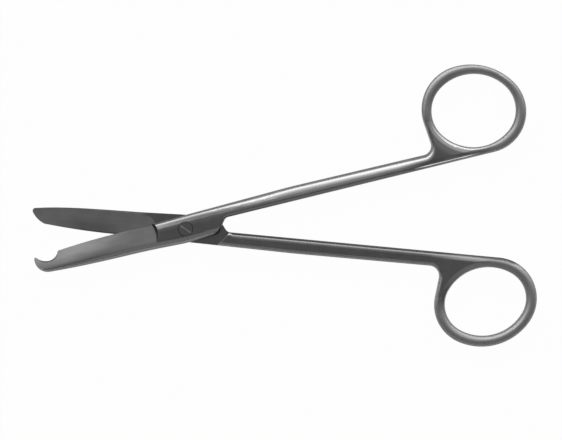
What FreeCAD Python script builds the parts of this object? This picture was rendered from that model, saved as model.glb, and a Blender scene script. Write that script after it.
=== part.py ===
import FreeCAD, Part
import math
import os

# Ring-handled suture scissors, open as when laid on a table.
# Two forged halves cross in a lap joint and turn on one slotted screw.
# Lengths are in millimetres and angles in degrees.
# The origin is on the pivot axis at the underside of the joint. The rings point along +X.
#
# Each half is drawn in a frame of its own: the pivot at the origin, the mating face
# at z = 0 with the outer face up, the ring towards +X on the +Y side, and the blade
# towards -X with its back at -Y. The plain half is then turned over.

# Whole scissors
OPEN_ANGLE = 19.1
LAP_GAP = 0.04

# Lap joint, the same on both halves
JOINT_THICKNESS = 2.2
JOINT_FLAT_REACH = 8.0
HEEL_SLANT = 53.0
CROTCH_BLEND = 0.8
FRONT_BLEND = 3.0
LAP_WALL_REACH = 12.05
LAP_WALL_SLANT = 50.0

# Shank and ring sections, the same on both halves
HANDLE_THICKNESS = 3.4
BLEND_LENGTH = 18.0
OUTER_FACE_ROUNDING = 2.1
MATING_FACE_ROUNDING = 1.2
RING_ROUNDING = 1.0

# Blade sections, the same on both halves
BLADE_TIP_THICKNESS = 1.0
TAPER_BLEND = 4.0
BACK_ROUNDING_AT_JOINT = 2.1
BACK_ROUNDING_AT_TIP = 1.3
BLADE_SHOULDER_REACH = 8.65
SHOULDER_CURVE_RADIUS = 7.0
SHOULDER_CURVE_CENTRE = 2.3
SHOULDER_WALL_SLANT = 30.0
EDGE_BELLY_RADIUS = 190.0
EDGE_BELLY_REACH = 18.5
EDGE_LAND = 0.14
TIP_LAND = 0.5
FACET_ANGLE_AT_SHOULDER = 25.0
FACET_ANGLE_AT_TIP = 8.0
HOLLOW_DEPTH = 0.14
HOLLOW_WIDTH = 5.5
HOLLOW_REACH = 8.3

# Hooked half, plan view
HOOKED_BLADE_LENGTH = 42.07
HOOKED_BACK_AT_HEEL = 3.4
HOOKED_BACK_AT_PIVOT = 3.76
HOOKED_BACK_AT_SHOULDER = 3.42
HOOKED_BACK_AT_MIDDLE = 3.24
HOOKED_BACK_AT_TIP = 2.57
HOOKED_TIP_BACK_SLANT = 4.0
HOOKED_TIP_RADIUS = 3.67
HOOKED_HEEL_REACH = 8.3
HOOKED_EDGE_PEAK = 3.27
HOOKED_FRONT_AT_SHOULDER = 3.5
HOOKED_SHANK_BULGE = 4.43
HOOKED_NECK_EDGE = 4.13
HOOKED_INNER_EDGE = 0.4
HOOKED_NECK_RADIUS = 2.55
HOOKED_NECK_SLANT = 5.2
HOOKED_RING_START = 86.38
HOOKED_RING_END_RADIUS = 11.2
HOOKED_RING_END_TURN = 120.6
HOOKED_RING_FAR_RADIUS = 16.57
HOOKED_RING_FAR_TURN = 62.5
HOOKED_RING_WEB_RADIUS = 11.94
HOOKED_HOLE_SETBACK = 2.83
HOOKED_HOLE_RISE = 12.26
HOOKED_HOLE_LENGTH = 23.02
HOOKED_HOLE_WIDTH = 19.96
HOOKED_HOLE_TILT = -10.6

# Hook at the tip of the hooked half
THROAT_FROM_TIP = 3.97
THROAT_FLOOR = 0.42
THROAT_BLADE_SIDE_RADIUS = 3.0
THROAT_TIP_SIDE_RADIUS = 4.1
THROAT_CORNER_ROUNDING = 0.4
THROAT_BEVEL_START = 0.25
THROAT_BEVEL_SLANT = 45.0
HOOK_TIP_ROUNDING = 0.38

# Plain half, plan view
PLAIN_BLADE_LENGTH = 42.0
PLAIN_BACK_AT_HEEL = 3.5
PLAIN_BACK_AT_PIVOT = 3.85
PLAIN_BACK_AT_SHOULDER = 3.52
PLAIN_BACK_AT_MIDDLE = 3.22
PLAIN_BACK_AT_TIP = 1.92
PLAIN_TIP_BACK_SLANT = 8.0
PLAIN_TIP_RADIUS = 0.75
PLAIN_TIP_SWEEP_RADIUS = 6.7
PLAIN_TIP_SWEEP_LENGTH = 3.57
PLAIN_HEEL_REACH = 8.75
PLAIN_EDGE_PEAK = 3.22
PLAIN_FRONT_AT_SHOULDER = 3.4
PLAIN_SHANK_BULGE = 3.95
PLAIN_NECK_EDGE = 3.77
PLAIN_INNER_EDGE = -0.2
PLAIN_NECK_RADIUS = 2.83
PLAIN_NECK_SLANT = 6.3
PLAIN_RING_START = 85.52
PLAIN_RING_END_RADIUS = 11.08
PLAIN_RING_END_TURN = 119.5
PLAIN_RING_FAR_RADIUS = 15.9
PLAIN_RING_FAR_TURN = 76.8
PLAIN_RING_WEB_RADIUS = 10.92
PLAIN_HOLE_SETBACK = 2.69
PLAIN_HOLE_RISE = 12.24
PLAIN_HOLE_LENGTH = 22.42
PLAIN_HOLE_WIDTH = 18.44
PLAIN_HOLE_TILT = -19.4

# Pivot screw
SCREW_HEAD_DIAMETER = 3.8
SCREW_HEAD_HEIGHT = 1.0
SCREW_THREAD_DIAMETER = 2.6
SCREW_SLOT_WIDTH = 0.4
SCREW_SLOT_DEPTH = 0.35
SCREW_SLOT_ANGLE = -38.0
SCREW_RUNNING_GAP = 0.05

# Places along the halves where the edges are measured
SHANK_BULGE_PLACE = 30.0
SHOULDER_EDGE_PLACE = -8.8
MIDDLE_EDGE_PLACE = -21.0

# How far cutting blocks reach past the metal
SPARE = 6.0

UP = FreeCAD.Vector(0, 0, 1)
ORIGIN = FreeCAD.Vector(0, 0, 0)


class Half:
    """The plan sizes of one half, by name."""

    def __init__(self, **sizes):
        self.__dict__.update(sizes)


HOOKED = Half(
    length=HOOKED_BLADE_LENGTH, back_at_heel=HOOKED_BACK_AT_HEEL, back_at_pivot=HOOKED_BACK_AT_PIVOT,
    back_at_shoulder=HOOKED_BACK_AT_SHOULDER, back_at_middle=HOOKED_BACK_AT_MIDDLE,
    back_at_tip=HOOKED_BACK_AT_TIP, tip_back_slant=HOOKED_TIP_BACK_SLANT, tip_radius=HOOKED_TIP_RADIUS,
    heel_reach=HOOKED_HEEL_REACH, edge_peak=HOOKED_EDGE_PEAK, front_at_shoulder=HOOKED_FRONT_AT_SHOULDER,
    shank_bulge=HOOKED_SHANK_BULGE, neck_edge=HOOKED_NECK_EDGE,
    inner_edge=HOOKED_INNER_EDGE, neck_radius=HOOKED_NECK_RADIUS, neck_slant=HOOKED_NECK_SLANT,
    ring_start=HOOKED_RING_START, ring_end_radius=HOOKED_RING_END_RADIUS, ring_end_turn=HOOKED_RING_END_TURN,
    ring_far_radius=HOOKED_RING_FAR_RADIUS, ring_far_turn=HOOKED_RING_FAR_TURN, ring_web_radius=HOOKED_RING_WEB_RADIUS,
    hole_setback=HOOKED_HOLE_SETBACK, hole_rise=HOOKED_HOLE_RISE, hole_length=HOOKED_HOLE_LENGTH,
    hole_width=HOOKED_HOLE_WIDTH, hole_tilt=HOOKED_HOLE_TILT)

PLAIN = Half(
    length=PLAIN_BLADE_LENGTH, back_at_heel=PLAIN_BACK_AT_HEEL, back_at_pivot=PLAIN_BACK_AT_PIVOT,
    back_at_shoulder=PLAIN_BACK_AT_SHOULDER, back_at_middle=PLAIN_BACK_AT_MIDDLE,
    back_at_tip=PLAIN_BACK_AT_TIP, tip_back_slant=PLAIN_TIP_BACK_SLANT, tip_radius=PLAIN_TIP_RADIUS,
    heel_reach=PLAIN_HEEL_REACH, edge_peak=PLAIN_EDGE_PEAK, front_at_shoulder=PLAIN_FRONT_AT_SHOULDER,
    shank_bulge=PLAIN_SHANK_BULGE, neck_edge=PLAIN_NECK_EDGE,
    inner_edge=PLAIN_INNER_EDGE, neck_radius=PLAIN_NECK_RADIUS, neck_slant=PLAIN_NECK_SLANT,
    ring_start=PLAIN_RING_START, ring_end_radius=PLAIN_RING_END_RADIUS, ring_end_turn=PLAIN_RING_END_TURN,
    ring_far_radius=PLAIN_RING_FAR_RADIUS, ring_far_turn=PLAIN_RING_FAR_TURN, ring_web_radius=PLAIN_RING_WEB_RADIUS,
    hole_setback=PLAIN_HOLE_SETBACK, hole_rise=PLAIN_HOLE_RISE, hole_length=PLAIN_HOLE_LENGTH,
    hole_width=PLAIN_HOLE_WIDTH, hole_tilt=PLAIN_HOLE_TILT)


# Small drawing helpers

def at(x, y, z=0.0):
    return FreeCAD.Vector(x, y, z)


def heading(angle):
    return at(math.cos(math.radians(angle)), math.sin(math.radians(angle)))


def angle_of(direction):
    return math.degrees(math.atan2(direction.y, direction.x))


def circles_cross(first, first_radius, second, second_radius):
    """Crossing of two circles, the one on the left when looking from the first centre to the second."""
    axis = second - first
    apart = axis.Length
    along = (first_radius ** 2 - second_radius ** 2 + apart ** 2) / (2 * apart)
    across = math.sqrt(first_radius ** 2 - along ** 2)
    axis.normalize()
    return first + axis * along + at(-axis.y, axis.x) * across


def circle_arc(centre, radius, start_angle, end_angle):
    middle = (start_angle + end_angle) / 2
    points = [centre + heading(angle) * radius for angle in (start_angle, middle, end_angle)]
    return Part.Arc(*points).toShape()


def smooth_curve(points, start_direction, end_direction):
    curve = Part.BSplineCurve()
    curve.interpolate(Points=points, InitialTangent=start_direction, FinalTangent=end_direction)
    return curve.toShape()


def rounded_corner(before, corner, after, blend):
    """Arc that takes over a straight corner from this far before it to this far after it."""
    back = (before - corner).normalize()
    onward = (after - corner).normalize()
    start = corner + back * blend
    end = corner + onward * blend
    inward = (back + onward).normalize()
    half_corner = back.getAngle(onward) / 2
    radius = blend * math.tan(half_corner)
    centre = corner + inward * (blend / math.cos(half_corner))
    return start, Part.Arc(start, centre - inward * radius, end).toShape(), end


def closed_wire(edges):
    return Part.Wire(Part.__sortEdges__(edges))


def polygon(points):
    return Part.makePolygon(points + points[:1])


def upright_block(outline, bottom, top):
    """Solid with this outline in plan, between two heights."""
    block = Part.Face(outline).extrude(UP * (top - bottom))
    block.translate(UP * bottom)
    return block


def turning_arc(start, direction, radius, turn):
    """Arc that leaves a point in a direction and turns left, with its end and the new direction."""
    centre = start + heading(direction + 90) * radius
    first = direction - 90
    arc = circle_arc(centre, radius, first, first + turn)
    return arc, centre + heading(first + turn) * radius, direction + turn


# Plan outlines

def hole_centre(half):
    return at(half.ring_start - half.hole_setback, half.inner_edge + half.hole_rise)


def finger_hole(half):
    """Oval drawn from four arcs that meet where they face 45 degrees off its length."""
    half_length = half.hole_length / 2
    half_width = half.hole_width / 2
    shift = (half_length - half_width) / (2 - math.sqrt(2))
    centre = hole_centre(half)
    along = heading(half.hole_tilt)
    across = heading(half.hole_tilt + 90)
    arcs = []
    for side in (1, -1):
        facing = half.hole_tilt + (0 if side == 1 else 180)
        arcs.append(circle_arc(centre + along * (side * shift), half_length - shift, facing - 45, facing + 45))
        arcs.append(circle_arc(centre - across * (side * shift), half_width + shift, facing + 45, facing + 135))
    return closed_wire(arcs)


def ring_and_web(half):
    """Outer curve of the ring and the web at its foot, and the centre of the neck curve after it."""
    ring_foot = at(half.ring_start, half.inner_edge)
    last_turn = 270 + half.neck_slant - half.ring_end_turn - half.ring_far_turn
    end_arc, far_start, far_direction = turning_arc(ring_foot, 0, half.ring_end_radius, half.ring_end_turn)
    far_arc, web_start, web_direction = turning_arc(far_start, far_direction, half.ring_far_radius, half.ring_far_turn)
    web_arc, web_top, web_slope = turning_arc(web_start, web_direction, half.ring_web_radius, last_turn)
    slant = math.radians(half.neck_slant)
    rise = half.neck_edge + half.neck_radius
    reach = web_top.x - (half.neck_radius + math.sin(slant) * (rise - web_top.y)) / math.cos(slant)
    neck_centre = at(reach, rise)
    web_foot = neck_centre + heading(half.neck_slant) * half.neck_radius
    edges = [end_arc, far_arc, web_arc, Part.makeLine(web_top, web_foot)]
    return edges, ring_foot, neck_centre


def front_and_neck(half, neck_centre):
    """Straight runs from the blade along the shank, rounded where they meet, and the neck curve."""
    start = at(-half.length, half.front_at_shoulder)
    shoulder = at(SHOULDER_EDGE_PLACE, half.front_at_shoulder)
    bulge = at(SHANK_BULGE_PLACE, half.shank_bulge)
    to_neck = neck_centre - bulge
    slope = angle_of(to_neck) - math.degrees(math.asin(half.neck_radius / to_neck.Length))
    meeting = neck_centre + heading(slope - 90) * half.neck_radius
    first_end, first_curve, second_start = rounded_corner(start, shoulder, bulge, FRONT_BLEND)
    second_end, second_curve, third_start = rounded_corner(shoulder, bulge, meeting, FRONT_BLEND)
    return [
        Part.makeLine(start, first_end), first_curve,
        Part.makeLine(second_start, second_end), second_curve,
        Part.makeLine(third_start, meeting),
        circle_arc(neck_centre, half.neck_radius, half.neck_slant, slope - 90)]


def heel_and_crotch(half):
    """Slanted heel of the joint and the curve from it into the shank's inner edge."""
    heel = at(half.heel_reach, -half.back_at_heel)
    climb = half.inner_edge + half.back_at_heel
    corner = heel + at(climb / math.tan(math.radians(HEEL_SLANT)), climb)
    onward = corner + at(SPARE, 0)
    start, curve, end = rounded_corner(heel, corner, onward, CROTCH_BLEND)
    return [Part.makeLine(heel, start), curve], heel, end


def back_edge(half, heel):
    """Back of the blade and joint, from the tip to the heel."""
    tip_centre = at(half.tip_radius - half.length, half.tip_radius - half.back_at_tip)
    tip_angle = -90 - half.tip_back_slant
    tip_start = tip_centre + heading(tip_angle) * half.tip_radius
    points = [
        tip_start,
        at(MIDDLE_EDGE_PLACE, -half.back_at_middle),
        at(SHOULDER_EDGE_PLACE, -half.back_at_shoulder),
        at(0, -half.back_at_pivot),
        heel]
    back = smooth_curve(points, heading(-half.tip_back_slant), heading(half.tip_back_slant))
    tip = circle_arc(tip_centre, half.tip_radius, tip_angle, -180)
    return [back, tip], at(-half.length, tip_centre.y)


def forging_outline(half):
    """Plan of the forging before its blade is ground to shape."""
    ring_edges, ring_foot, neck_centre = ring_and_web(half)
    heel_edges, heel, crotch_end = heel_and_crotch(half)
    back_edges, tip_side = back_edge(half, heel)
    inner = Part.makeLine(crotch_end, ring_foot)
    tip_wall = Part.makeLine(tip_side, at(-half.length, half.front_at_shoulder))
    return closed_wire(
        ring_edges + front_and_neck(half, neck_centre) + heel_edges + back_edges + [inner, tip_wall])


def belly_centre(half):
    return at(-EDGE_BELLY_REACH, half.edge_peak - EDGE_BELLY_RADIUS)


def belly_height(half, x):
    """Height of the cutting edge, which bulges a little, at a place along the blade."""
    centre = belly_centre(half)
    return centre.y + math.sqrt(EDGE_BELLY_RADIUS ** 2 - (x - centre.x) ** 2)


def belly_arc(half, start_x, end_x):
    middle_x = (start_x + end_x) / 2
    points = [at(x, belly_height(half, x)) for x in (start_x, middle_x, end_x)]
    return Part.Arc(*points).toShape()


# Side view

def level_arc(level_end, other_end):
    """Arc in side view that starts level at the first point and ends at the second."""
    run = other_end.x - level_end.x
    drop = other_end.z - level_end.z
    radius = (run ** 2 + drop ** 2) / (2 * abs(drop))
    half_turn = math.asin(abs(run) / radius) / 2
    middle = level_end + at(
        math.copysign(radius * math.sin(half_turn), run), 0,
        math.copysign(radius * (1 - math.cos(half_turn)), drop))
    return Part.Arc(level_end, middle, other_end).toShape()


def side_block(half):
    """Everything under the outer face: tapered blade, flat joint, then the slimmer shank and ring."""
    handle_top = HANDLE_THICKNESS / 2
    bottom = -handle_top - SPARE
    end_x = half.ring_start + half.hole_length
    tip_x = -half.length - SPARE
    taper_start = at(-BLADE_SHOULDER_REACH, 0, JOINT_THICKNESS)
    fall = (JOINT_THICKNESS - BLADE_TIP_THICKNESS) / (half.length - BLADE_SHOULDER_REACH)
    tip = at(tip_x, 0, BLADE_TIP_THICKNESS - fall * SPARE)
    joint_end = at(JOINT_FLAT_REACH, 0, JOINT_THICKNESS)
    blend_middle = at(JOINT_FLAT_REACH + BLEND_LENGTH / 2, 0, (JOINT_THICKNESS + handle_top) / 2)
    handle_start = at(JOINT_FLAT_REACH + BLEND_LENGTH, 0, handle_top)
    taper_end, taper_arc, flat_start = rounded_corner(tip, taper_start, joint_end, TAPER_BLEND)
    edges = [
        Part.makeLine(tip, taper_end),
        taper_arc,
        Part.makeLine(flat_start, joint_end),
        level_arc(joint_end, blend_middle),
        level_arc(handle_start, blend_middle),
        Part.makeLine(handle_start, at(end_x, 0, handle_top)),
        Part.makeLine(at(end_x, 0, handle_top), at(end_x, 0, bottom)),
        Part.makeLine(at(end_x, 0, bottom), at(tip_x, 0, bottom)),
        Part.makeLine(at(tip_x, 0, bottom), tip)]
    depth = 2 * half.hole_length + 2 * SPARE
    block = Part.Face(closed_wire(edges)).extrude(at(0, depth, 0))
    block.translate(at(0, -half.back_at_pivot - SPARE, 0))
    return block


# Rounding of the forging

def is_upright(edge):
    box = edge.BoundBox
    return box.XLength < 0.001 and box.YLength < 0.001


def edge_at(shape, place, below=False):
    """The long edge nearest to a point, on the upper or the lower side."""
    vertex = Part.Vertex(place)
    level = [edge for edge in shape.Edges if not is_upright(edge) and (edge.BoundBox.ZMin < 0) == below]
    return min(level, key=lambda edge: edge.distToShape(vertex)[0])


def rounded_forging(half):
    handle_top = HANDLE_THICKNESS / 2
    plan = Part.Face([forging_outline(half), finger_hole(half)])
    plan.validate()
    block = plan.extrude(UP * (JOINT_THICKNESS + SPARE))
    block.translate(UP * -handle_top)
    forging = block.common(side_block(half)).Solids[0]

    hole_side = hole_centre(half) - at(half.hole_length / 2, 0)
    forging = forging.makeFillet(RING_ROUNDING, [
        edge_at(forging, hole_side + UP * handle_top),
        edge_at(forging, hole_side - UP * handle_top, below=True)])

    back_place = at(MIDDLE_EDGE_PLACE, -half.back_at_middle, JOINT_THICKNESS)
    back = edge_at(forging, back_place)
    radii = (BACK_ROUNDING_AT_TIP, BACK_ROUNDING_AT_JOINT)
    if back.valueAt(back.FirstParameter).x > back.valueAt(back.LastParameter).x:
        radii = radii[::-1]
    forging = forging.makeFillet(*radii, [back])

    forging = shank_rounded(forging, half, OUTER_FACE_ROUNDING, below=False)
    forging = forging.cut(lap_recess(half))
    return shank_rounded(forging, half, MATING_FACE_ROUNDING, below=True)


def shank_rounded(forging, half, rounding, below):
    """Rounds the edges on one side. The rounding narrows along the neck curve, from the shank's to the ring's."""
    neck_centre = ring_and_web(half)[2]
    side = -UP if below else UP
    neck_middle = neck_centre + heading((half.neck_slant - 90) / 2) * half.neck_radius
    neck = edge_at(forging, neck_middle + side * (HANDLE_THICKNESS / 2), below)
    radii = (rounding, RING_ROUNDING)
    if neck.valueAt(neck.FirstParameter).y > neck.valueAt(neck.LastParameter).y:
        radii = radii[::-1]
    return forging.makeFillet(*radii, [neck])


# Machining of the joint and blade

def lap_recess(half):
    """Clears the mating side of the joint and blade up to the slanted wall in the shank."""
    wall_foot = at(LAP_WALL_REACH, half.inner_edge)
    slant = heading(180 - LAP_WALL_SLANT)
    reach = 2 * SPARE
    low = wall_foot - slant * reach
    high = wall_foot + slant * reach
    far_x = -half.length - SPARE
    outline = polygon([low, high, at(far_x, high.y), at(far_x, low.y)])
    return upright_block(outline, -HANDLE_THICKNESS, LAP_GAP / 2)


def shoulder_place(height):
    """Where the curved end of the ground facet lies at a height across the blade."""
    across = height - SHOULDER_CURVE_CENTRE
    return -BLADE_SHOULDER_REACH - SHOULDER_CURVE_RADIUS + math.sqrt(SHOULDER_CURVE_RADIUS ** 2 - across ** 2)


def throat_place(half):
    return THROAT_FROM_TIP - half.length


def facet_section(half, x, land, angle):
    """Upright section of the metal that grinding takes off the outer face."""
    slope = math.tan(math.radians(angle))
    edge = belly_height(half, x)
    past_edge = edge + SPARE
    past_back = -half.back_at_middle - SPARE
    top = JOINT_THICKNESS + SPARE
    return polygon([
        at(x, past_edge, land - slope * SPARE),
        at(x, past_back, land + slope * (edge - past_back)),
        at(x, past_back, top + SPARE),
        at(x, past_edge, top + SPARE)])


def ground_facet(half):
    """Twisted wedge with a curved, leaning end wall at the shoulder."""
    start_x = -half.length - SPARE
    hook_x = throat_place(half) + THROAT_BLADE_SIDE_RADIUS
    end_x = 0.0
    run = end_x - start_x
    sections = []
    for x, land in ((start_x, TIP_LAND), (hook_x, EDGE_LAND), ((hook_x + end_x) / 2, EDGE_LAND), (end_x, EDGE_LAND)):
        share = (x - start_x) / run
        angle = FACET_ANGLE_AT_TIP + (FACET_ANGLE_AT_SHOULDER - FACET_ANGLE_AT_TIP) * share
        sections.append(facet_section(half, x, land, angle))
    wedge = Part.makeLoft(sections, True)
    height = JOINT_THICKNESS + SPARE
    growth = height * math.tan(math.radians(SHOULDER_WALL_SLANT))
    centre_x = -BLADE_SHOULDER_REACH - SHOULDER_CURVE_RADIUS
    centre = at(centre_x, SHOULDER_CURVE_CENTRE)
    wheel = Part.makeCone(SHOULDER_CURVE_RADIUS, SHOULDER_CURVE_RADIUS + growth, height, centre)
    wide = 2 * SHOULDER_CURVE_RADIUS
    rest = Part.makeBox(half.length + centre_x + SPARE, 2 * wide, height, at(start_x, -wide))
    return wedge.common(wheel.fuse(rest))


def edge_block(half, tip_edges, edge_start, edge_end_point):
    """Upright cut that gives the blade its cutting edge and tip outline."""
    notch = shoulder_place(half.front_at_shoulder)
    edge_start_y = belly_height(half, notch)
    top_y = half.front_at_shoulder + SPARE
    belly = belly_arc(half, edge_start, notch)
    corners = [at(notch, edge_start_y), at(notch, top_y), at(-half.length - SPARE, top_y), edge_end_point]
    lines = [Part.makeLine(a, b) for a, b in zip(corners, corners[1:])]
    outline = closed_wire([belly] + lines + tip_edges)
    return upright_block(outline, -HANDLE_THICKNESS, JOINT_THICKNESS + SPARE)


def hook_block(half):
    """Cutting edge, throat and rounded point of the hook."""
    blade_side = at(throat_place(half), THROAT_FLOOR + THROAT_BLADE_SIDE_RADIUS)
    tip_side = at(throat_place(half), THROAT_FLOOR + THROAT_TIP_SIDE_RADIUS)
    nose = at(half.tip_radius - half.length, half.tip_radius - half.back_at_tip)

    corner = circles_cross(blade_side, THROAT_BLADE_SIDE_RADIUS, belly_centre(half), EDGE_BELLY_RADIUS)
    point = circles_cross(
        nose, half.tip_radius - HOOK_TIP_ROUNDING, tip_side, THROAT_TIP_SIDE_RADIUS + HOOK_TIP_ROUNDING)
    throat_end = angle_of(point - tip_side)
    nose_angle = angle_of(point - nose)
    tip_edges = [
        circle_arc(blade_side, THROAT_BLADE_SIDE_RADIUS, angle_of(corner - blade_side), -90),
        circle_arc(tip_side, THROAT_TIP_SIDE_RADIUS, -90, throat_end),
        circle_arc(point, HOOK_TIP_ROUNDING, throat_end + 180, nose_angle),
        circle_arc(nose, half.tip_radius, nose_angle, 180),
        Part.makeLine(nose - at(half.tip_radius, 0), at(-half.length - SPARE, nose.y))]
    block = edge_block(half, tip_edges, corner.x, at(-half.length - SPARE, nose.y))
    upright = [edge for edge in block.Edges if is_upright(edge)]
    sharp = min(upright, key=lambda edge: (edge.CenterOfMass - corner).x ** 2 + (edge.CenterOfMass - corner).y ** 2)
    return [
        block.makeFillet(THROAT_CORNER_ROUNDING, [sharp]),
        throat_bevel(blade_side, THROAT_BLADE_SIDE_RADIUS, 0),
        throat_bevel(tip_side, THROAT_TIP_SIDE_RADIUS, -1)]


def throat_bevel(centre, radius, side):
    """Half a cone that bevels the outer edge of the throat, on the blade's side or on the tip's."""
    growth = SPARE * math.tan(math.radians(THROAT_BEVEL_SLANT))
    reach = radius + growth
    cone = Part.makeCone(radius, reach, SPARE, centre + UP * THROAT_BEVEL_START)
    return cone.common(Part.makeBox(reach, 2 * reach, JOINT_THICKNESS + SPARE, centre + at(side * reach, -reach)))


def plain_tip_block(half):
    """Cutting edge and the swept, rounded tip of the plain blade."""
    nose = at(half.tip_radius - half.length, half.tip_radius - half.back_at_tip)
    corner_x = PLAIN_TIP_SWEEP_LENGTH - half.length
    corner = at(corner_x, belly_height(half, corner_x))
    sweep = circles_cross(corner, PLAIN_TIP_SWEEP_RADIUS, nose, PLAIN_TIP_SWEEP_RADIUS - half.tip_radius)
    sweep_angle = angle_of(nose - sweep) % 360
    tip_edges = [
        circle_arc(sweep, PLAIN_TIP_SWEEP_RADIUS, angle_of(corner - sweep), sweep_angle),
        circle_arc(nose, half.tip_radius, sweep_angle, 180),
        Part.makeLine(nose - at(half.tip_radius, 0), at(-half.length - SPARE, nose.y))]
    return [edge_block(half, tip_edges, corner.x, at(-half.length - SPARE, nose.y))]


def hollow_grind(half):
    """Shallow hollow along the mating side of the blade, so that only the edges meet."""
    half_width = HOLLOW_WIDTH / 2
    radius = (half_width ** 2 + HOLLOW_DEPTH ** 2) / (2 * HOLLOW_DEPTH)
    level = LAP_GAP / 2 + HOLLOW_DEPTH - radius
    middle = (half.edge_peak - half.back_at_middle) / 2
    end_x = -HOLLOW_REACH - half_width
    start = at(-half.length - SPARE, middle, level)
    barrel = Part.makeCylinder(radius, end_x - start.x, start, at(1, 0, 0))
    return barrel.fuse(Part.makeSphere(radius, at(end_x, middle, level)))


def ground_half(half, tip_cuts, bore):
    metal = rounded_forging(half)
    metal = metal.cut([ground_facet(half), hollow_grind(half), bore] + tip_cuts)
    return metal.Solids[0]


# Pivot screw and its bores, in the frame of the hooked half

def turned_pin(diameter, bottom, top):
    return Part.makeCylinder(diameter / 2, top - bottom, UP * bottom)


def screw_bore():
    """Clearance hole and head recess through the hooked half."""
    clearance = 2 * SCREW_RUNNING_GAP
    hole = turned_pin(SCREW_THREAD_DIAMETER + clearance, -SPARE, JOINT_THICKNESS + SPARE)
    seat = JOINT_THICKNESS - SCREW_HEAD_HEIGHT - SCREW_RUNNING_GAP
    recess = turned_pin(SCREW_HEAD_DIAMETER + clearance, seat, JOINT_THICKNESS + SPARE)
    return hole.fuse(recess)


def pivot_screw():
    """Slotted screw with its head flush in the hooked half and its end flush under the plain half."""
    shank = turned_pin(SCREW_THREAD_DIAMETER, -JOINT_THICKNESS, JOINT_THICKNESS - SCREW_HEAD_HEIGHT)
    head = turned_pin(SCREW_HEAD_DIAMETER, JOINT_THICKNESS - SCREW_HEAD_HEIGHT, JOINT_THICKNESS)
    slot = Part.makeBox(2 * SCREW_HEAD_DIAMETER, SCREW_SLOT_WIDTH, 2 * SCREW_SLOT_DEPTH)
    slot.translate(at(-SCREW_HEAD_DIAMETER, -SCREW_SLOT_WIDTH / 2, JOINT_THICKNESS - SCREW_SLOT_DEPTH))
    slot.rotate(ORIGIN, UP, SCREW_SLOT_ANGLE)
    return shank.fuse(head).removeSplitter().cut(slot).Solids[0]


# Assembly

def turn_over(shape):
    shape.rotate(ORIGIN, at(1, 0, 0), 180)
    return shape


def place(shape, swing):
    """Turns a piece about the pivot and lifts it, so that the joint's underside is at z = 0."""
    shape.rotate(ORIGIN, UP, swing)
    shape.translate(UP * JOINT_THICKNESS)
    return shape


def build():
    thread_bore = turned_pin(SCREW_THREAD_DIAMETER, -SPARE, JOINT_THICKNESS + SPARE)
    hooked_half = ground_half(HOOKED, hook_block(HOOKED), screw_bore())
    plain_half = turn_over(ground_half(PLAIN, plain_tip_block(PLAIN), thread_bore))
    return {
        "hooked_half": place(hooked_half, OPEN_ANGLE / 2),
        "plain_half": place(plain_half, -OPEN_ANGLE / 2),
        "pivot_screw": place(pivot_screw(), 0)}


def main():
    os.makedirs("parts", exist_ok=True)
    for name, shape in build().items():
        shape.exportStep(os.path.join("parts", name + ".step"))
        print(name, "volume", round(shape.Volume, 2), "valid", shape.isValid())


main()
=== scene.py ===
# %% [markdown]
# # Suture scissors, dressed for a product photograph
#
# The scissors are three pieces of stainless steel: a half with a hooked blade, a plain half under it,
# and the slotted screw that they turn on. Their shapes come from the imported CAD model, because every
# one of them is rigid metal that a solid modeller draws exactly. What is left to Blender is what a
# solid can't say: how each face was finished, how it wore, what light it mirrors and where the
# camera stands.

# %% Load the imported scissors
import math

import bpy
import numpy as np
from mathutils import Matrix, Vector

MM = 1000.0

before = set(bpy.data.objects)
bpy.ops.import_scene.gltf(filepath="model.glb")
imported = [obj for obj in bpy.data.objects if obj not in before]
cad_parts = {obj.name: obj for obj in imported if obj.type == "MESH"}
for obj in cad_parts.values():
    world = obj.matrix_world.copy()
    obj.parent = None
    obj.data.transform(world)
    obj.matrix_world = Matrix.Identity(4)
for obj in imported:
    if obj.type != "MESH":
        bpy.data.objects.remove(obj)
bpy.context.view_layer.update()

# %% [markdown]
# ## The camera
#
# The photograph looks straight down on the scissors, and it is turned a little: the line midway
# between the shanks climbs to the right. A long lens far away keeps the rings and the joint at one
# scale, as they are there. The picture is 562 by 440, and its width covers 152.25 mm at the height
# of the scissors.

# %% Camera
PICTURE_WIDTH = 0.15225
PICTURE_MIDDLE = (0.02593, 0.00052)
PICTURE_ROLL = math.radians(-4.2)
HEIGHT_IN_FOCUS = 0.0035
SENSOR_MM, LENS_MM = 36.0, 120.0
NEAREST_SEEN, FARTHEST_SEEN = 0.01, 20.0

camera_data = bpy.data.cameras.new("camera")
camera_data.sensor_width = SENSOR_MM
camera_data.lens = LENS_MM
camera_data.clip_start, camera_data.clip_end = NEAREST_SEEN, FARTHEST_SEEN
camera = bpy.data.objects.new("camera", camera_data)
camera.location = (*PICTURE_MIDDLE, HEIGHT_IN_FOCUS + PICTURE_WIDTH * LENS_MM / SENSOR_MM)
camera.rotation_euler = (0, 0, PICTURE_ROLL)
bpy.context.scene.collection.objects.link(camera)
bpy.context.scene.camera = camera
print("camera is", round(camera.location.z, 3), "m above the table")

# %% [markdown]
# ## Shader maths as Python
#
# A finish is a formula: a mask times a pattern plus a shade. In the node editor each sign of such a
# formula is a node with two wires. The small class below wraps a socket, so that a plain Python
# expression adds those nodes. `Finish.node` adds any other node, its settings first. Two helpers
# carry most of the work later: `rising` turns a place or a tilt into a mask with a soft border, and
# `where` multiplies a value only inside a mask.

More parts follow.
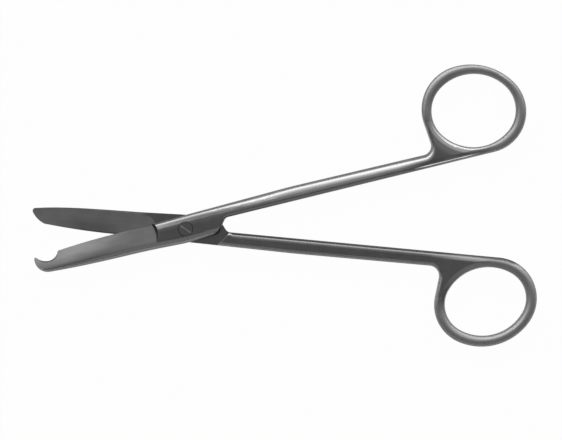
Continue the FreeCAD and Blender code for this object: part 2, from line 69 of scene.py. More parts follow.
# %% A socket that can be added and multiplied
class Signal:
    """What a node gives out: a number that varies over a surface, or a colour or shader to pass on."""

    def __init__(self, finish, socket):
        self.finish = finish
        self.socket = socket

    def maths(self, operation, *others):
        return self.finish.maths(operation, self, *others)

    def __add__(self, other):
        return self.maths("ADD", other)

    def __radd__(self, other):
        return self.finish.maths("ADD", other, self)

    def __sub__(self, other):
        return self.maths("SUBTRACT", other)

    def __rsub__(self, other):
        return self.finish.maths("SUBTRACT", other, self)

    def __mul__(self, other):
        return self.maths("MULTIPLY", other)

    def __rmul__(self, other):
        return self.finish.maths("MULTIPLY", other, self)

    def __truediv__(self, other):
        return self.maths("DIVIDE", other)

    def __rtruediv__(self, other):
        return self.finish.maths("DIVIDE", other, self)

    def rising(self, low, high):
        """0 below low, 1 above high, and a smooth climb between them."""
        return self.finish.node(
            "ShaderNodeMapRange", {"interpolation_type": "SMOOTHSTEP"},
            {"Value": self, "From Min": low, "From Max": high, "To Min": 0.0, "To Max": 1.0}).out("Result")

    def falling(self, low, high):
        return 1.0 - self.rising(low, high)

    def size(self):
        """The number without its sign."""
        return self.maths("ABSOLUTE")

    def where(self, mask, factor):
        """The value as it is where the mask is 0, and times the factor where it is 1."""
        return self * (1.0 + mask * (factor - 1.0))


class Node:
    """A node whose outputs are read by name."""

    def __init__(self, finish, node):
        self.finish = finish
        self.node = node

    def out(self, name):
        return Signal(self.finish, self.node.outputs[name])


# %% A finish, built up node by node
class Finish:
    """One procedural material, or the studio's own light."""

    def __init__(self, name, kept_with="materials"):
        self.made = getattr(bpy.data, kept_with).new(name)
        self.made.use_nodes = True
        self.tree = self.made.node_tree
        self.tree.nodes.clear()

    def feed(self, socket, value):
        if isinstance(value, Signal):
            self.tree.links.new(value.socket, socket)
        else:
            socket.default_value = value

    def node(self, kind, settings=None, sockets=None):
        node = self.tree.nodes.new(kind)
        for setting, value in (settings or {}).items():
            setattr(node, setting, value)
        for socket, value in (sockets or {}).items():
            self.feed(node.inputs[socket], value)
        return Node(self, node)

    def maths(self, operation, *values):
        return self.node("ShaderNodeMath", {"operation": operation}, dict(enumerate(values))).out("Value")

    def vector(self, x, y, z):
        return self.node("ShaderNodeCombineXYZ", {}, {"X": x, "Y": y, "Z": z}).out("Vector")

    def split(self, vector):
        parts = self.node("ShaderNodeSeparateXYZ", {}, {"Vector": vector})
        return parts.out("X"), parts.out("Y"), parts.out("Z")

    def grey(self, shade):
        colour = self.node("ShaderNodeCombineColor", {}, {"Red": shade, "Green": shade, "Blue": shade})
        return colour.out("Color")

    def noise(self, x, y, z, detail, grain, scale=1.0):
        """Cloudy pattern about 0, at most 0.5 up or down, and as coarse as 1 / scale in units of x, y, z."""
        noise = self.node("ShaderNodeTexNoise", {"noise_dimensions": "3D"}, {
            "Vector": self.vector(x, y, z), "Scale": scale, "Detail": detail, "Roughness": grain})
        return noise.out("Fac") - 0.5


def from_centre(x, y):
    """Distance from a centre: the root of the sum of squares."""
    return (x * x + y * y).maths("SQRT")


# %% [markdown]
# ## Where a point lies on its half
#
# Steel is ground, brushed and worn along its own shape, so patterns are laid out in the frame of each
# half: x along the shank, y across it and z up from the mating face, in millimetres. A UV map could
# say the same, but it would need seams on a forging that has none. Here the half only has to be
# turned back about the pivot, which is a sine and a cosine. The plain half lies face down, so its y
# and z are flipped as well. The sizes are the ones that the solids were drawn with. The last row of
# each half tells how deep its rings are polished, and is used further down.

# %% Sizes of the halves
OPEN_ANGLE = math.radians(19.1)
MATING_HEIGHT = 2.2

HOOKED = {"swing": OPEN_ANGLE / 2, "turned_over": False,
          "hole": (83.55, 12.66), "hole_reach": (11.51, 9.98), "hole_tilt": math.radians(-10.6),
          "ring_foot": (86.38, 0.4), "ring_arcs": ((11.2, 120.6), (16.57, 62.5), (11.94, 92.1)),
          "hole_fall": 0.24, "rim_fall": 0.25, "web_fall": 0.16, "web_lip": 0.4}
PLAIN = {"swing": -OPEN_ANGLE / 2, "turned_over": True,
         "hole": (82.83, 12.04), "hole_reach": (11.21, 9.22), "hole_tilt": math.radians(-19.4),
         "ring_foot": (85.52, -0.2), "ring_arcs": ((11.08, 119.5), (15.9, 76.8), (10.92, 80.0)),
         "hole_fall": 0.3, "rim_fall": 0.3, "web_fall": 0.0, "web_lip": 0.0}


def ring_outline(half):
    """The ring's outer arcs as centre, radius and way at the start, and the place and way at their end."""
    place, way, arcs = np.array(half["ring_foot"]), 0.0, []
    for radius, turn in half["ring_arcs"]:
        centre = place + np.array([-math.sin(way), math.cos(way)]) * radius
        arcs.append((centre, radius, way))
        way += math.radians(turn)
        place = centre - np.array([-math.sin(way), math.cos(way)]) * radius
    return arcs, place, way


for name, half in (("hooked", HOOKED), ("plain", PLAIN)):
    arcs, arcs_end, last_way = ring_outline(half)
    print(name, "half's ring has", len(arcs), "arcs, which end at", arcs_end.round(1), "mm and have turned",
          round(math.degrees(last_way), 1), "degrees")


# %% Place on a half
class OnHalf:
    """Place in millimetres and normal, turned back by the half's swing, and over where it lies face down."""

    def __init__(self, finish, half):
        texture = finish.node("ShaderNodeTexCoord")
        row_x, row_y, row_z = (row * MM for row in finish.split(texture.out("Object")))
        turn, lean = math.cos(half["swing"]), math.sin(half["swing"])
        side = -1.0 if half["turned_over"] else 1.0
        self.x = row_x * turn + row_y * lean
        self.y = (row_y * turn - row_x * lean) * side
        self.z = (row_z - MATING_HEIGHT) * side
        facing_x, facing_y, facing_z = finish.split(texture.out("Normal"))
        self.tilt_up = facing_z * side
        self.tilt_side = (facing_y * turn - facing_x * lean) * side


# %% [markdown]
# ## Where a point lies on the ring
#
# A ring's polish follows the ring, so beside x, y and z a point gets a second address: how far it
# lies from the finger hole's edge and from the outer rim, and which way round the hole it is. The
# hole is an oval. The rim is a straight foot, then three arcs that run into one another, then the
# line of the neck, and each takes over where the one before it ends. One closed distance to the whole
# outline would need a mesh to measure against, and a material has none. The web that joins ring and
# shank gets a mask of its own, which is full on the side of the hole that faces the joint.

# %% Place on the ring
RING_REACH = (13.5, 18.0)
AWAY_FROM_WEB = (0.55, 0.83)
WEB_SPREAD = (-0.85, -0.5)
NECK_LEAN = 0.6


class Place(OnHalf):
    """Place on a half, and the distances from hole and rim in millimetres."""

    def __init__(self, finish, half):
        super().__init__(finish, half)
        self.lay_round_hole(half)
        self.lay_inside_rim(half)

    def lay_round_hole(self, half):
        """Distance outside the oval hole, along the line from its centre, and the way round it."""
        reach_along, reach_across = half["hole_reach"]
        turn, lean = math.cos(half["hole_tilt"]), math.sin(half["hole_tilt"])
        from_x, from_y = self.x - half["hole"][0], self.y - half["hole"][1]
        along = from_x * turn + from_y * lean
        across = from_y * turn - from_x * lean
        radius = from_centre(along, across)
        oval = (along * along / reach_along ** 2 + across * across / reach_across ** 2).maths("SQRT")
        self.off_hole = radius - radius / oval
        self.round_cosine = along / radius
        self.round_sine = across / radius
        self.in_ring = radius.falling(*RING_REACH)
        away = self.round_cosine * AWAY_FROM_WEB[0] + self.round_sine * AWAY_FROM_WEB[1]
        self.beside_web = away.falling(*WEB_SPREAD)

    def lay_inside_rim(self, half):
        """Distance inside the rim: off the foot's line, or inside the last arc whose start is passed."""
        arcs, arcs_end, last_way = ring_outline(half)
        off_foot = self.y - half["ring_foot"][1]
        self.off_rim = off_foot
        for centre, arc_radius, way in arcs:
            from_x, from_y = self.x - centre[0], self.y - centre[1]
            past = (from_x * math.cos(way) + from_y * math.sin(way)).maths("GREATER_THAN", 0.0)
            self.take_over(arc_radius - from_centre(from_x, from_y), past)
        from_x, from_y = self.x - arcs_end[0], self.y - arcs_end[1]
        past = (from_x * math.cos(last_way) + from_y * math.sin(last_way)).maths("GREATER_THAN", 0.0)
        past = past * self.x.maths("LESS_THAN", half["ring_foot"][0])
        off_neck = from_y * math.cos(last_way) - from_x * math.sin(last_way) - from_y * NECK_LEAN
        self.take_over(off_neck.maths("MINIMUM", off_foot), past)

    def take_over(self, distance, past):
        """The new distance where past is 1, and the old one where it is 0."""
        self.off_rim = self.off_rim + (distance - self.off_rim) * past


# %% [markdown]
# ## Satin on forged steel
#
# After forging, the outside of an instrument is brushed on a soft belt, so that it doesn't glare under
# theatre lamps. The belt runs along the shanks and round the rings, and leaves lines a tenth of a
# millimetre wide. They could be drawn with anisotropy, but lines that are really there, as height and
# roughness, also break up the edge of a highlight as the photograph shows it. A blade is ground the
# other way, across its edge, and the lap joint's faces carry rings that the other half has rubbed.
# All of them are one noise, stretched: fine across the path and drawn out along it.

# %% Lines left by belt, wheel and wear
LINES_PER_MM = 7.0
LINE_ENDS_PER_MM = 0.35
LINE_ENDS_ROUND_RING = 5.0
CUTS_PER_MM = 6.0
CUT_ENDS_PER_MM = 0.5
RUBS_PER_MM = 3.0
RUB_ENDS_PER_MM = 0.06
LINE_DETAIL, CUT_DETAIL, GRAIN = 3.0, 2.0, 0.6


def brush_lines(finish, place):
    """Straight lines on blade and shank, and lines round the hole on the ring."""
    straight = finish.noise(
        place.x * LINE_ENDS_PER_MM, place.y * LINES_PER_MM, place.z * LINES_PER_MM, LINE_DETAIL, GRAIN)
    round_ring = finish.noise(
        place.off_hole * LINES_PER_MM,
        place.round_cosine * LINE_ENDS_ROUND_RING + place.z * LINES_PER_MM,
        place.round_sine * LINE_ENDS_ROUND_RING, LINE_DETAIL, GRAIN)
    return straight + (round_ring - straight) * place.in_ring


def grind_lines(finish, place):
    """Lines across the blade, as a wheel that runs over the edge leaves them."""
    return finish.noise(place.x * CUTS_PER_MM, place.y * CUT_ENDS_PER_MM, place.z, CUT_DETAIL, GRAIN)


def rub_rings(finish, place):
    """Rings about the pivot, from noise over the distance to it."""
    return finish.noise(
        from_centre(place.x, place.y) * RUBS_PER_MM, place.x * RUB_ENDS_PER_MM, place.y * RUB_ENDS_PER_MM,
        CUT_DETAIL, GRAIN)


print("brush lines are", round(1 / LINES_PER_MM, 2), "by", round(1 / LINE_ENDS_PER_MM, 1), "mm")

# %% [markdown]
# ## The faces of a half
#
# Each face is finished by another tool, so the material has to know which face a point is on. The way
# the steel faces tells most of it: the blade's outer facet leans towards the edge, and the mating side
# looks down. Where two faces look the same way, the place along the half parts them. Masks made from
# the normal stay sharp at an edge of the solid, which a mask in x and y would only come near.

# %% Where the faces are
FACET_LEAN, FACET_FACES_UP, FACET_ENDS = (0.06, 0.12), (0.76, 0.84), -8.2
FACES_DOWN = (-0.97, -0.9)
HOLLOW_DEPTH, HOLLOW_RUNS_OUT, INNER_ENDS = (0.021, 0.04), (-13.0, -10.0), (-7.4, -7.0)
LAP_LEVEL = (-0.3, -0.1)
SIDE_TILT = (0.5, 0.87)
CLOUDS_PER_MM, CLOUD_DETAIL, CLOUD_GRAIN = 0.35, 4.0, 0.5


class Zones:
    """Masks from 0 to 1 for the faces of a half, and the patterns that lie on them."""

    def __init__(self, finish, place):
        downwards = place.tilt_up.falling(*FACES_DOWN)
        hollow = place.z.rising(*HOLLOW_DEPTH).maths("MAXIMUM", place.x.falling(*HOLLOW_RUNS_OUT))
        self.facet = (place.tilt_side.rising(*FACET_LEAN) * place.tilt_up.rising(*FACET_FACES_UP)
                      * place.x.maths("LESS_THAN", FACET_ENDS))
        self.inner = downwards * hollow * place.x.falling(*INNER_ENDS)
        self.lap = downwards * place.z.rising(*LAP_LEVEL) * (1.0 - self.inner)
        self.ground = (self.facet + self.inner).maths("MINIMUM", 1.0)
        self.brushed = (1.0 - self.ground) * (1.0 - self.lap)
        self.sides = place.tilt_up.size().falling(*SIDE_TILT)
        self.lines = brush_lines(finish, place)
        self.cuts = grind_lines(finish, place)
        self.rubs = rub_rings(finish, place)
        self.cloud = finish.noise(place.x, place.y, place.z, CLOUD_DETAIL, CLOUD_GRAIN, CLOUDS_PER_MM)


# %% [markdown]
# ## The crown of the shank
#
# In the photograph the light on the upper shank grows evenly from its inner edge to the bright band.
# The belt has crowned the flat that the solid has there, by about a fifth of a millimetre. A crown so
# shallow changes no outline, so it is put into the shading alone, as a height for the Bump node. It
# stays level up to a ridge and then goes down along a cosine, which starts without a crease. Beside
# the joint it is the other way round, and the edge is crisper than the solid's: there the height
# dips a little and then climbs towards the edge, which holds the light in one narrow band.

# %% Crown of the outer face
CROWN_RIDGE, CROWN_WAVE, CROWN_HEIGHT = 1.2, 3.8, 0.115
CROWN_GROWS, CROWN_FADES = (-6.0, 34.0), (58.0, 70.0)
LIP_RISE, LIP_RISE_ACROSS = 0.55, (2.0, 4.3)
LIP_DIP, LIP_DIP_ACROSS = 0.07, (0.6, 2.3)
LIP_FADES = (0.0, 24.0)
OUTSIDE_TILT = (0.5, 0.62)


def outer_crown(place, facet):
    """Height in millimetres: half a cosine down from the ridge, and a dip and a climb beside the joint."""
    past_ridge = (place.y - CROWN_RIDGE).maths("MAXIMUM", 0.0)
    wave = ((past_ridge * (2 * math.pi / CROWN_WAVE)).maths("COSINE") - 1.0) * CROWN_HEIGHT
    lip = place.y.rising(*LIP_RISE_ACROSS) * LIP_RISE - place.y.rising(*LIP_DIP_ACROSS) * LIP_DIP
    outside = place.tilt_up.rising(*OUTSIDE_TILT) * (1.0 - facet)
    on_shank = place.x.rising(*CROWN_GROWS) * place.x.falling(*CROWN_FADES)
    return (wave * on_shank + lip * place.x.falling(*LIP_FADES)) * outside


print("crown goes down", 2 * CROWN_HEIGHT, "mm at", CROWN_RIDGE + CROWN_WAVE / 2, "mm across the shank")

# %% [markdown]
# ## The rings' polish
#
# A ring is dressed by hand on a small wheel, inside and out, and most at its two borders. So the
# height falls towards the finger hole and towards the rim. The web that joins the hooked half's ring
# to its shank falls to the hole over a longer way, and under it a thin bright line shows where the
# belt left a narrow lip along the inner edge.

# %% Crown of the ring
BORDER_SLOPE, WEB_SLOPE = (0.4, 1.9), (1.0, 3.6)
RIM_STARTS = (64.0, 76.0)
WEB_LIP_ACROSS, WEB_LIP_GROWS, WEB_LIP_FADES = (0.75, 1.25), (60.0, 68.0), (78.0, 86.0)
EDGE_BREAK_STARTS, EDGE_BREAK_FADES, EDGE_BREAK_STEEPNESS = 1.5, (66.0, 74.0), 0.1


def ring_crown(place, half):
    """Height in millimetres: it falls smoothly towards the finger hole and towards the outer rim."""
    to_hole = place.off_hole.falling(*BORDER_SLOPE) * half["hole_fall"]
    to_rim = place.off_rim.falling(*BORDER_SLOPE) * half["rim_fall"] * place.x.rising(*RIM_STARTS)
    over_web = place.off_hole.falling(*WEB_SLOPE) * place.beside_web * half["web_fall"]
    under_web = place.x.rising(*WEB_LIP_GROWS) * place.x.falling(*WEB_LIP_FADES)
    lip = place.y.falling(*WEB_LIP_ACROSS) * under_web * half["web_lip"]
    return lip - (to_hole + to_rim + over_web)


def edge_break(place, broken_edge):
    """Height in millimetres: it goes down with the square of the way towards the inner edge."""
    to_edge = (EDGE_BREAK_STARTS - place.y).maths("MAXIMUM", 0.0)
    return to_edge * to_edge * broken_edge * place.x.falling(*EDGE_BREAK_FADES) * -EDGE_BREAK_STEEPNESS


# %% [markdown]
# ## Painted light and shade of the blade
#
# The facet comes off the wheel matt. Its colour is painted lighter along the edge and towards the tip, a
# painted highlight, and painted darker beside its ridge, a painted shade; a slow drift in tone lies over
# it. The hollow inner face has a painted shade towards the cutting edge, and more along the middle of the
# blade. The shades are factors on the bare steel's own grey, so each can be judged by itself.

# %% Blade shades
# Painted light on the facet: lighter towards tip and edge, darker beside the ridge.
FACET_AT_SHOULDER, FACET_PAINTED_GAIN_AT_TIP, FACET_BACK_LOSS = 0.37, 0.72, 0.08
FACET_GROWS_LIGHT, FACET_ACROSS, FACET_WIDENS, FACET_MIDDLE = (-34.0, -12.0), (-2.2, 2.4), 0.06, 20.0
RIDGE_PAINTED_SHADE, RIDGE_WIDTH = 0.62, (-2.2, -0.9)
DRIFT_ALONG, DRIFT_ACROSS, DRIFT_GRAIN, DRIFT_SHARE = 0.16, 0.5, 0.55, 0.5
# Painted shade on the hollow inner face.
INNER_PAINTED_SHADE, INNER_PAINTED_LOSS, INNER_ACROSS = 1.12, 0.4, (-1.5, 3.5)
DARKEST_FROM, DARKEST_TO, DARKEST_ACROSS, MIDDLE_PAINTED_SHADE = (-36.0, -27.0), (-24.0, -14.0), (-1.5, 1.5), 0.3


def facet_drift_and_painted_light(finish, place):
    """Painted light: shoulder's shade, plus a painted gain towards tip and edge, times a slow drift in tone
    and a painted darker ridge.
    """
    to_tip = place.x.falling(*FACET_GROWS_LIGHT)
    to_edge = (place.y - (place.x + FACET_MIDDLE) * FACET_WIDENS).rising(*FACET_ACROSS)
    drift = finish.noise(place.x * DRIFT_ALONG, place.y * DRIFT_ACROSS, place.z, CUT_DETAIL, DRIFT_GRAIN)
    shade = FACET_AT_SHOULDER + to_tip * (to_edge * FACET_PAINTED_GAIN_AT_TIP - FACET_BACK_LOSS)
    beside_ridge = RIDGE_PAINTED_SHADE + place.y.rising(*RIDGE_WIDTH) * (1.0 - RIDGE_PAINTED_SHADE)
    return shade * (1.0 + drift * DRIFT_SHARE) * beside_ridge


def inner_face_painted_shade(place):
    """Painted shade that falls towards the cutting edge, and once more along the middle of the blade."""
    middle = place.x.rising(*DARKEST_FROM) * place.x.falling(*DARKEST_TO) * place.y.rising(*DARKEST_ACROSS)
    return (INNER_PAINTED_SHADE - place.y.rising(*INNER_ACROSS) * INNER_PAINTED_LOSS) * (1.0 - middle * MIDDLE_PAINTED_SHADE)


# %% [markdown]
# ## Small painted highlights and shades
#
# Four small marks are painted into the colour. A painted highlight runs along the top of the lap joint's
# wall. The hook's throat has a bevel, cut with a round stone, and it is painted dark: a painted shade. A
# narrow ring round the screw is painted darker, a painted shade round the head. And the inner edge of
# each shank's mating side is broken with a file, and is painted darker than the face beside it: a painted
# shade that dims its highlight.

# %% Painted marks
LAP_WALL_PLACE, LAP_WALL_WAY, LAP_WALL_LEVEL = (12.05, -0.2), math.radians(130.0), (-1.66, -1.6)
# Painted highlight along the lap joint's wall.
LAP_HIGHLIGHT_WIDTH, LAP_PAINTED_HIGHLIGHT = (0.1, 0.4), 1.8
THROAT_SLANT_FROM, THROAT_SLANT_TO = (0.55, 0.66), (0.74, 0.8)
# Painted shade on the throat's bevel.
THROAT_STARTS, THROAT_ACROSS, THROAT_PAINTED_SHADE = -33.0, (0.0, 0.3), 0.3
# Painted shade in a narrow ring round the screw.
SCREW_SEAT, SCREW_SEAT_FACES_UP, SCREW_SEAT_PAINTED_SHADE = (2.0, 2.25), (0.9, 1.0), 0.65
EDGE_LEVEL, EDGE_ACROSS, EDGE_STARTS = (-1.2, -0.8), (0.9, 1.5), (12.0, 13.0)
# Painted shade on the mating side's inner edge.
EDGE_TILT, EDGE_PAINTED_SHADE = (0.05, 0.4), 0.32


def lap_wall_painted_highlight(place):
    """Painted highlight on the shank's mating side: 1 within a tenth of a millimetre of the wall, and 0 past
    four tenths.
    """
    across_x, across_y = math.sin(LAP_WALL_WAY), -math.cos(LAP_WALL_WAY)
    off_wall = (place.x - LAP_WALL_PLACE[0]) * across_x + (place.y - LAP_WALL_PLACE[1]) * across_y
    return off_wall.size().falling(*LAP_HIGHLIGHT_WIDTH) * place.z.falling(*LAP_WALL_LEVEL)


def throat_bevel(place):
    """The slanted face inside the hook, told by its tilt of about 45 degrees."""
    slanted = place.tilt_up.rising(*THROAT_SLANT_FROM) * place.tilt_up.falling(*THROAT_SLANT_TO)
    return slanted * place.x.maths("LESS_THAN", THROAT_STARTS) * place.y.rising(*THROAT_ACROSS)


def screw_seat(place):
    """Where the painted shade goes: the outer face within a quarter of a millimetre of the screw."""
    return from_centre(place.x, place.y).falling(*SCREW_SEAT) * place.tilt_up.rising(*SCREW_SEAT_FACES_UP)


def broken_edge(place):
    """The inner edge of shank and ring on the mating side, behind the joint."""
    return place.z.falling(*EDGE_LEVEL) * place.y.falling(*EDGE_ACROSS) * place.x.rising(*EDGE_STARTS)


# %% [markdown]
# ## Steel of a half
#
# One material holds the whole half, because it is one forging. The sides are painted darker than the
# faces, a painted shade that keeps the steep steel from mirroring the white table as a bright rim. On the
# rings the painted shade is weaker, and the sides lighter. The rings and the ground facet are rougher than
# the shanks, which spreads what they mirror. Each of the three helpers starts from a plain value and adds
# what face, mark and pattern do to it, so one line can be tried out without the others.

# %% Shade, roughness and height
BARE_STEEL, CLOUD_SHARE, LINE_SHARE = 0.52, 0.12, 0.1
# Painted shade on the steep sides, eased on the rings.
SIDES_PAINTED_DARKER, RING_SIDE_PAINTED_SHADE_EASED = 0.28, 0.25
SATIN_ROUGHNESS, RING_ROUGHNESS, WEB_SMOOTHNESS = 0.26, 0.23, 0.2
SIDE_ROUGHNESS, FACET_ROUGHNESS, INNER_ROUGHNESS = 0.12, 0.3, 0.12
CLOUD_ROUGHNESS, LINE_ROUGHNESS, CUT_ROUGHNESS = 0.08, 0.07, 0.08
LAP_POLISH, RUB_POLISH = 0.02, 0.1
LINE_DEPTH, CUT_DEPTH, RUB_DEPTH = 0.0009, 0.0012, 0.001


def steel_shade(finish, place, zones):
    """The bare steel's grey, clouded a little, times the painted light and shade of each face and mark."""
    shade = BARE_STEEL * (1.0 + zones.cloud * CLOUD_SHARE + zones.lines * zones.brushed * LINE_SHARE)
    # Painted shade: steep sides darker than the faces, less so on the rings.
    shade = shade.where(zones.sides, SIDES_PAINTED_DARKER + place.in_ring * RING_SIDE_PAINTED_SHADE_EASED)
    # Painted light on the facet: lighter towards edge and tip, darker beside the ridge.
    shade = shade.where(zones.facet, facet_drift_and_painted_light(finish, place))
    # Painted shade on the hollow inner face, towards the edge and along the middle.
    shade = shade.where(zones.inner, inner_face_painted_shade(place))
    # Painted highlight along the top of the lap joint's wall.
    shade = shade.where(lap_wall_painted_highlight(place), LAP_PAINTED_HIGHLIGHT)
    # Painted shade on the throat's bevel.
    shade = shade.where(throat_bevel(place), THROAT_PAINTED_SHADE)
    # Painted shade in a narrow ring round the screw head.
    shade = shade.where(screw_seat(place), SCREW_SEAT_PAINTED_SHADE)
    # Painted shade on the inner edge of the mating side, which dims its highlight.
    return shade.where(broken_edge(place) * place.tilt_side.size().rising(*EDGE_TILT), EDGE_PAINTED_SHADE)


def steel_roughness(place, zones):
    """Satin, plus what each face adds, plus a little of each pattern."""
    roughness = SATIN_ROUGHNESS + zones.cloud * CLOUD_ROUGHNESS
    roughness = roughness + zones.lines * zones.brushed * LINE_ROUGHNESS
    roughness = roughness + place.in_ring * (RING_ROUGHNESS - place.beside_web * WEB_SMOOTHNESS)
    roughness = roughness + zones.sides * SIDE_ROUGHNESS + zones.facet * FACET_ROUGHNESS
    roughness = roughness + zones.inner * INNER_ROUGHNESS + zones.cuts * zones.ground * CUT_ROUGHNESS
    return roughness - zones.lap * (zones.rubs * RUB_POLISH + LAP_POLISH)


def steel_height(place, zones, half):
    """Millimetres: the fine lines of each tool, and the shallow forms of the polish."""
    fine = zones.lines * zones.brushed * LINE_DEPTH + zones.cuts * zones.ground * CUT_DEPTH
    fine = fine + zones.rubs * zones.lap * RUB_DEPTH
    forms = outer_crown(place, zones.facet) + ring_crown(place, half)
    return fine + forms + edge_break(place, broken_edge(place))


# %% [markdown]
# ## From signals to a metal
#
# Bare metal is the Principled shader with Metallic at 1: it has no colour of its own but the tint of
# its mirror image. Only three of its sockets vary over the surface. Bump takes the height in
# millimetres, so its distance is one millimetre in Blender's metres.

# %% Materials of the halves
def close_steel(finish, shade, roughness, height):
    """Joins the signals to a metal surface. Height is in millimetres."""
    bump = finish.node("ShaderNodeBump", {}, {"Strength": 1.0, "Distance": 1.0 / MM, "Height": height})
    steel = finish.node("ShaderNodeBsdfPrincipled", {}, {
        "Base Color": finish.grey(shade), "Metallic": 1.0, "Roughness": roughness,
        "Normal": bump.out("Normal")})
    finish.node("ShaderNodeOutputMaterial", {}, {"Surface": steel.out("BSDF")})
    return finish.made


def steel_half(name, half):
    finish = Finish(name)
    place = Place(finish, half)
    zones = Zones(finish, place)
    return close_steel(finish, steel_shade(finish, place, zones), steel_roughness(place, zones),
                       steel_height(place, zones, half))


# %% [markdown]
# ## The screw
#
# The head is faced on a lathe and then lies flush in the joint, so its lines are rings about its own
# axis. The slot is painted brighter, a painted highlight. The rim, where head and seat nearly meet, is
# painted darker, a painted shade in the gap. The screw turns with the plain half, but on an axis its swing
# doesn't matter, so its place is read without one.

# %% Material of the screw
SCREW_STEEL, SCREW_ROUGHNESS = 0.5, 0.27
TURNS_PER_MM, TURN_ENDS_PER_MM = 9.0, 0.2
TURN_SHARE, TURN_ROUGHNESS, TURN_DEPTH = 0.15, 0.12, 0.002
# Painted highlight in the slot; painted shade at the rim, on the line below.
SLOT_LEVEL, SLOT_REACH, SLOT_PAINTED_HIGHLIGHT = (2.0, 2.15), (1.8, 1.9), 2.0
RIM_REACH, SCREW_RIM_PAINTED_SHADE = (1.72, 1.9), 0.55


def turned_screw(name):
    """Rings of a lathe tool on the head, from noise over the distance to the axis, a painted highlight in
    the slot and a painted shade at the rim.
    """
    finish = Finish(name)
    place = Place(finish, dict(HOOKED, swing=0.0))
    distance = from_centre(place.x, place.y)
    turns = finish.noise(
        distance * TURNS_PER_MM, place.z * TURNS_PER_MM, place.x * TURN_ENDS_PER_MM, CUT_DETAIL, GRAIN)
    slot = place.z.falling(*SLOT_LEVEL) * distance.falling(*SLOT_REACH)
    rim = distance.rising(*RIM_REACH) * (1.0 - slot)
    # Painted highlight in the slot and painted shade at the rim of the head.
    shade = (SCREW_STEEL * (1.0 + turns * TURN_SHARE)).where(slot, SLOT_PAINTED_HIGHLIGHT).where(rim, SCREW_RIM_PAINTED_SHADE)
    return close_steel(finish, shade, SCREW_ROUGHNESS + turns * TURN_ROUGHNESS, turns * TURN_DEPTH)


# %% Dress the three pieces
dressed = {
    "hooked_half": steel_half("satin_steel_hooked", HOOKED),
    "plain_half": steel_half("satin_steel_plain", PLAIN),
    "pivot_screw": turned_screw("turned_steel_screw"),
}
for piece, material in dressed.items():
    for material_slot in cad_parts[piece].material_slots:
        material_slot.material = material
    print(piece, "has", len(material.node_tree.nodes), "nodes in its finish")

# %% [markdown]
# ## The table
#
# The scissors lie on white. A white that comes from more light would wash out the steel as well, so
# the table gives its own white, but only to a ray that looks at it: from the camera, or by way of a
# mirror or glass. For all other light it is plain paper, and takes the scissors' shadow. It lies a
# twentieth of a millimetre below them, so that it shares no plane with the joint's underside.

# %% Table
TABLE_HALF = 1.5
TABLE_STEPS = 12
TABLE_HEIGHT = -0.00005
PAPER = 0.85
OWN_WHITE_SHARE = 0.98


def pale_table():
    """Flat sheet under the scissors: x and y run over a grid and the height stays the same."""
    steps = np.linspace(-TABLE_HALF, TABLE_HALF, TABLE_STEPS + 1)
    x, y = np.meshgrid(steps, steps, indexing="ij")
    points = np.stack([x, y, np.full_like(x, TABLE_HEIGHT)], axis=-1).reshape(-1, 3)
    row = TABLE_STEPS + 1
    corner = (np.arange(TABLE_STEPS)[:, None] * row + np.arange(TABLE_STEPS)[None, :]).ravel()
    faces = np.stack([corner, corner + row, corner + row + 1, corner + 1], axis=-1)
    mesh = bpy.data.meshes.new("table")
    mesh.from_pydata(points.tolist(), [], faces.tolist())
    table = bpy.data.objects.new("table", mesh)
    bpy.context.scene.collection.objects.link(table)
    return table


def table_white():
    """Paper for lamps and shadows, and its own even white for a ray that looks at it."""
    finish = Finish("table_white")
    path = finish.node("ShaderNodeLightPath")
    looked_at = path.out("Is Camera Ray").maths("MAXIMUM", path.out("Is Glossy Ray"))
    looked_at = looked_at.maths("MAXIMUM", path.out("Is Transmission Ray"))
    paper = finish.node("ShaderNodeBsdfDiffuse", {}, {"Color": (PAPER, PAPER, PAPER, 1.0)})
    white = finish.node("ShaderNodeEmission", {}, {"Color": (1.0, 1.0, 1.0, 1.0), "Strength": 1.0})
    both = finish.node("ShaderNodeMixShader", {}, {
        "Fac": looked_at * OWN_WHITE_SHARE, 1: paper.out("BSDF"), 2: white.out("Emission")})
    finish.node("ShaderNodeOutputMaterial", {}, {"Surface": both.out("Shader")})
    return finish.made


table = pale_table()
table.data.materials.append(table_white())
print("table has", len(table.data.polygons), "faces")

# %% [markdown]
# ## The studio
#
# Satin metal is a soft mirror, so its look is mostly the look of the room. The photograph shows a dark
# studio with one wide softbox low beyond the top of the picture. The light from it spills up the far
# wall, which is why the steel brightens evenly as it turns away from the camera. A row of lamps could
# stand in for that spill, but each would show as a band of its own. So the spill is the world's
# colour: brighter the lower one looks on the far side, down to the softbox, and dark elsewhere.

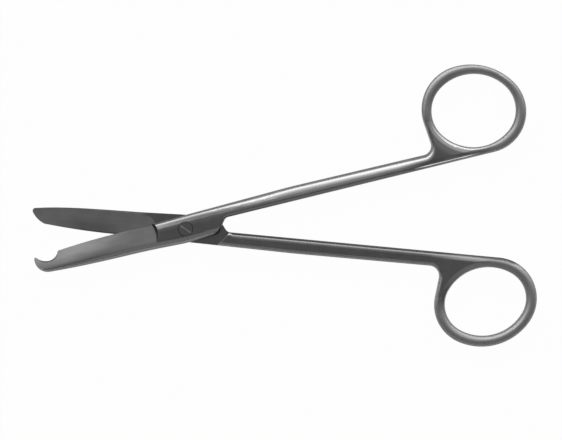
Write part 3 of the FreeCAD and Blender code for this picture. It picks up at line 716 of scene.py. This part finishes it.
# %% Lamps
LIT_SPOT = Vector((0.026, 0.0, 0.0))


def soft_lamp(name, azimuth, elevation, distance, width, height, radiance):
    """Softbox that looks at the scissors. Azimuth 0 is towards +Y and 90 towards +X, in degrees."""
    way, rise = math.radians(azimuth), math.radians(elevation)
    out = Vector((math.sin(way) * math.cos(rise), math.cos(way) * math.cos(rise), math.sin(rise)))
    data = bpy.data.lights.new(name, "AREA")
    data.shape = "RECTANGLE"
    data.size, data.size_y = width, height
    data.energy = radiance * math.pi * width * height
    lamp = bpy.data.objects.new(name, data)
    lamp.location = LIT_SPOT + out * distance
    lamp.rotation_euler = out.to_track_quat("Z", "Y").to_euler()
    bpy.context.scene.collection.objects.link(lamp)
    print(name, "gives", round(data.energy, 3), "W")


soft_lamp("softbox", azimuth=0, elevation=32, distance=0.8, width=1.6, height=0.28, radiance=1.0)
soft_lamp("fill", azimuth=180, elevation=38, distance=0.9, width=1.6, height=1.0, radiance=0.14)

# %% World
DARK_ROOM = 0.085
WALL_GLOW = 2.6
GLOW_STARTS = (0.2, 0.42)
FAR_SIDE = (-0.1, 0.7)
TINY = 0.0001


def studio_room():
    """Dark, plus on the far side a glow that grows with 1 less the sine of the elevation."""
    finish = Finish("studio", "worlds")
    x, y, up = finish.split(finish.node("ShaderNodeTexCoord").out("Generated"))
    far_side = (y / (x * x + y * y + TINY).maths("SQRT")).rising(*FAR_SIDE)
    glow = (1.0 - up) * WALL_GLOW * up.rising(*GLOW_STARTS) * far_side + DARK_ROOM
    background = finish.node("ShaderNodeBackground", {}, {"Color": finish.grey(glow)})
    finish.node("ShaderNodeOutputWorld", {}, {"Surface": background.out("Background")})
    return finish.made


bpy.context.scene.world = studio_room()
bpy.context.scene.view_settings.view_transform = "Standard"
print("room goes from", DARK_ROOM, "to about", round(DARK_ROOM + (1.0 - GLOW_STARTS[1]) * WALL_GLOW, 2))

# %% [markdown]
# ## The end
#
# The view layer is brought up to date.

# %% Update the view layer
bpy.context.view_layer.update()
